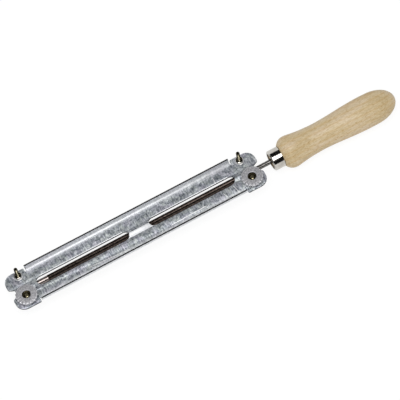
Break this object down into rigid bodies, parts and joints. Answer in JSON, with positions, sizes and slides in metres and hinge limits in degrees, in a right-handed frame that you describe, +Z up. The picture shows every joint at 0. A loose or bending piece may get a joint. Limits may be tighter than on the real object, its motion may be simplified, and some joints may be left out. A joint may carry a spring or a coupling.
{
  "type": "chainsaw file guide",
  "caption": "Sheet-steel guide plate that holds a round chain file between two screw clamps, with a turned wooden handle on the file's tang.",
  "frame": {"origin": "under the middle of the whole object, at the height of the handle's lowest point, with the file level", "axes": "+X along the file towards the handle, +Y towards the studs and away from the knurled nuts, +Z up from the plate"},
  "size_m": [0.334, 0.0326, 0.0292],
  "materials": {
    "galvanised_steel": "hot-dip galvanised, mottled blue-grey spangle",
    "zinc_plate": "clear zinc plated, satin",
    "zinc_yellow": "yellow passivated zinc on steel",
    "file_steel": "hardened file steel with cut teeth and a plain tip",
    "nickel_plate": "polished nickel plate",
    "beech": "clear satin varnish on turned beech"
  },
  "bodies": {
    "guide": {"guide_plate": "galvanised_steel", "tip_washer": "zinc_plate", "tang_washer": "zinc_plate"},
    "file": {"round_file": "file_steel"},
    "grip": {"handle": "beech", "ferrule": "nickel_plate"},
    "tip_nut": {"tip_knurled_nut": "zinc_plate"},
    "tip_jaw": {"tip_clamp_jaw": "galvanised_steel", "tip_clamp_screw": "zinc_yellow", "tip_stud_screw": "zinc_yellow"},
    "tip_hex": {"tip_hex_nut": "zinc_yellow"},
    "tang_nut": {"tang_knurled_nut": "zinc_plate"},
    "tang_jaw": {"tang_clamp_jaw": "galvanised_steel", "tang_clamp_screw": "zinc_yellow", "tang_stud_screw": "zinc_yellow"},
    "tang_hex": {"tang_hex_nut": "zinc_yellow"}
  },
  "joints": [
    {"name": "file_turn", "type": "hinge", "parent": "guide", "child": "file", "pos_m": [-0.059, 0, 0.013], "axis": [1, 0, 0], "continuous": true},
    {"name": "handle_pull", "type": "slide", "parent": "file", "child": "grip", "axis": [1, 0, 0], "range_m": [0, 0.035]},
    {"name": "tip_nut_turn", "type": "hinge", "parent": "guide", "child": "tip_nut", "pos_m": [-0.1565, -0.0075, 0.0157], "axis": [0, 0, 1], "range_deg": [0, 1080]},
    {"name": "tip_hex_turn", "type": "hinge", "parent": "guide", "child": "tip_hex", "pos_m": [-0.155, 0.0112, 0.0157], "axis": [0, 0, 1], "range_deg": [0, 1080]},
    {"name": "tip_jaw_drop", "type": "slide", "parent": "guide", "child": "tip_jaw", "axis": [0, 0, -1], "range_m": [0, 0.0015]},
    {"name": "tang_nut_turn", "type": "hinge", "parent": "guide", "child": "tang_nut", "pos_m": [0.0385, -0.0075, 0.0157], "axis": [0, 0, 1], "range_deg": [0, 1080]},
    {"name": "tang_hex_turn", "type": "hinge", "parent": "guide", "child": "tang_hex", "pos_m": [0.037, 0.0112, 0.0157], "axis": [0, 0, 1], "range_deg": [0, 1080]},
    {"name": "tang_jaw_drop", "type": "slide", "parent": "guide", "child": "tang_jaw", "axis": [0, 0, -1], "range_m": [0, 0.0015]}
  ],
  "couplings": [
    {"joint": "tip_nut_turn", "follows": "tip_jaw_drop", "rad_per_m": 12566},
    {"joint": "tip_hex_turn", "follows": "tip_jaw_drop", "rad_per_m": 12566},
    {"joint": "tang_nut_turn", "follows": "tang_jaw_drop", "rad_per_m": 12566},
    {"joint": "tang_hex_turn", "follows": "tang_jaw_drop", "rad_per_m": 12566}
  ]
}
